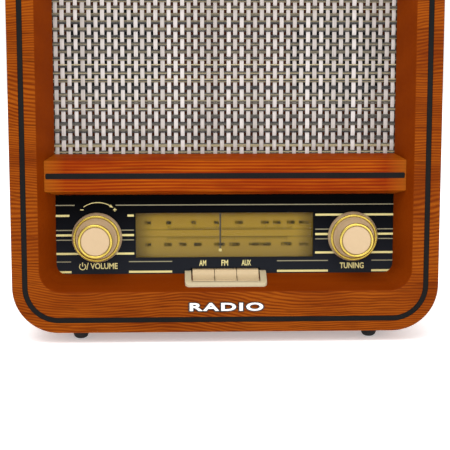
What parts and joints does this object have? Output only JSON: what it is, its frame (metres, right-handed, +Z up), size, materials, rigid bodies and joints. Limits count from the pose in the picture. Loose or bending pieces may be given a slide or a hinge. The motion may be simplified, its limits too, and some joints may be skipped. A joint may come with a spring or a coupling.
{
  "type": "tabletop radio",
  "caption": "Wooden tabletop radio with a woven speaker grille, a lit tuning scale and pointer, volume and tuning knobs, and push keys.",
  "frame": {"origin": "centre of the bounding box in X and Y, on the plane that the feet stand on", "axes": "+X to the listener's right, +Y from the front to the rear, +Z up"},
  "size_m": [0.312, 0.1732, 0.306],
  "materials": {
    "walnut": "varnished",
    "black_inlay": "satin",
    "woven_grille": "woven strips",
    "baffle_board": "stained",
    "black_panel": "gloss",
    "dial_glass": "clear",
    "amber_scale": "lit",
    "white_plastic": "moulded",
    "circuit_board": "solder mask",
    "cream_plastic": "satin",
    "gilt": "polished",
    "steel": "zinc plated",
    "brass": "turned",
    "dark_steel": "black coated",
    "rubber": "matt",
    "hardboard": "dark, pressed",
    "black_plastic": "moulded",
    "ferrite": "sintered",
    "transformer_copper": "lacquered winding and steel core",
    "aluminium": "extruded",
    "paper_cone": "pressed paper",
    "cord_thread": "braided",
    "pointer_black": "satin"
  },
  "bodies": {
    "cabinet": {"cabinet_shell": "walnut", "front_frame": "walnut", "frame_inlay": "black_inlay", "centre_rail": "walnut", "rail_inlay": "black_inlay", "grille_cloth": "woven_grille", "baffle_board": "baffle_board", "dial_panel": "black_panel", "dial_window": "dial_glass", "dial_scale_plate": "amber_scale", "light_box": "white_plastic", "lamp_board": "circuit_board", "key_bezel": "cream_plastic", "name_badge": "white_plastic", "foot_front_left": "rubber", "foot_front_right": "rubber", "foot_rear_left": "rubber", "foot_rear_right": "rubber", "rear_cover": "hardboard", "rear_screw_top_left": "dark_steel", "rear_screw_top_right": "dark_steel", "rear_screw_bottom_left": "dark_steel", "rear_screw_bottom_right": "dark_steel", "main_board": "circuit_board", "power_transformer": "transformer_copper", "mains_inlet": "black_plastic", "aerial_socket": "steel", "amplifier_heat_sink": "aluminium", "ferrite_rod": "ferrite", "ferrite_coil": "transformer_copper", "ferrite_holder": "white_plastic", "volume_control": "steel", "tuning_capacitor": "white_plastic", "dial_frame": "steel", "pointer_rail": "steel", "key_switch_bank": "black_plastic", "left_speaker_basket": "dark_steel", "left_speaker_magnet": "ferrite", "left_speaker_surround": "rubber", "right_speaker_basket": "dark_steel", "right_speaker_magnet": "ferrite", "right_speaker_surround": "rubber", "dial_cord": "cord_thread"},
    "volume_knob": {"volume_knob": "cream_plastic", "volume_knob_outer_ring": "gilt", "volume_knob_inner_ring": "gilt", "volume_shaft": "steel"},
    "tuning_knob": {"tuning_knob": "cream_plastic", "tuning_knob_outer_ring": "gilt", "tuning_knob_inner_ring": "gilt", "tuning_shaft": "brass"},
    "pointer": {"dial_pointer": "pointer_black"},
    "drum": {"tuning_drum": "white_plastic"},
    "left_pulley": {"left_pulley": "white_plastic"},
    "right_pulley": {"right_pulley": "white_plastic"},
    "am_key": {"am_key": "cream_plastic"},
    "fm_key": {"fm_key": "cream_plastic"},
    "aux_key": {"aux_key": "cream_plastic"},
    "left_cone": {"left_speaker_cone": "paper_cone"},
    "right_cone": {"right_speaker_cone": "paper_cone"}
  },
  "joints": [
    {"name": "volume_turn", "type": "hinge", "parent": "cabinet", "child": "volume_knob", "pos_m": [-0.0953, -0.06235, 0.0753], "axis": [0, 1, 0], "range_deg": [0, 300]},
    {"name": "tuning_turn", "type": "hinge", "parent": "cabinet", "child": "tuning_knob", "pos_m": [0.0953, -0.06235, 0.0753], "axis": [0, 1, 0], "range_deg": [-410, 550]},
    {"name": "pointer_slide", "type": "slide", "parent": "cabinet", "child": "pointer", "axis": [1, 0, 0], "range_m": [-0.0425, 0.0569]},
    {"name": "drum_turn", "type": "hinge", "parent": "cabinet", "child": "drum", "pos_m": [0.055, -0.04435, 0.074], "axis": [0, 1, 0], "range_deg": [-76.5, 102.5]},
    {"name": "left_pulley_turn", "type": "hinge", "parent": "cabinet", "child": "left_pulley", "pos_m": [-0.066, -0.04435, 0.105], "axis": [0, 1, 0], "range_deg": [-411, 551]},
    {"name": "right_pulley_turn", "type": "hinge", "parent": "cabinet", "child": "right_pulley", "pos_m": [0.0953, -0.04435, 0.105], "axis": [0, 1, 0], "range_deg": [-411, 551]},
    {"name": "am_key_press", "type": "slide", "parent": "cabinet", "child": "am_key", "axis": [0, 1, 0], "range_m": [0, 0.003], "stiffness_N_per_m": 200, "springref_m": -0.001},
    {"name": "fm_key_press", "type": "slide", "parent": "cabinet", "child": "fm_key", "axis": [0, 1, 0], "range_m": [0, 0.003], "stiffness_N_per_m": 200, "springref_m": -0.001},
    {"name": "aux_key_press", "type": "slide", "parent": "cabinet", "child": "aux_key", "axis": [0, 1, 0], "range_m": [0, 0.003], "stiffness_N_per_m": 200, "springref_m": -0.001},
    {"name": "left_cone_travel", "type": "slide", "parent": "cabinet", "child": "left_cone", "axis": [0, 1, 0], "range_m": [-0.001, 0.001], "stiffness_N_per_m": 1000, "deforming": ["left_speaker_surround"]},
    {"name": "right_cone_travel", "type": "slide", "parent": "cabinet", "child": "right_cone", "axis": [0, 1, 0], "range_m": [-0.001, 0.001], "stiffness_N_per_m": 1000, "deforming": ["right_speaker_surround"]}
  ],
  "couplings": [
    {"joint": "pointer_slide", "follows": "tuning_turn", "m_per_rad": 0.0059},
    {"joint": "drum_turn", "follows": "tuning_turn", "ratio": 0.18554},
    {"joint": "left_pulley_turn", "follows": "tuning_turn", "ratio": 1},
    {"joint": "right_pulley_turn", "follows": "tuning_turn", "ratio": 1}
  ]
}
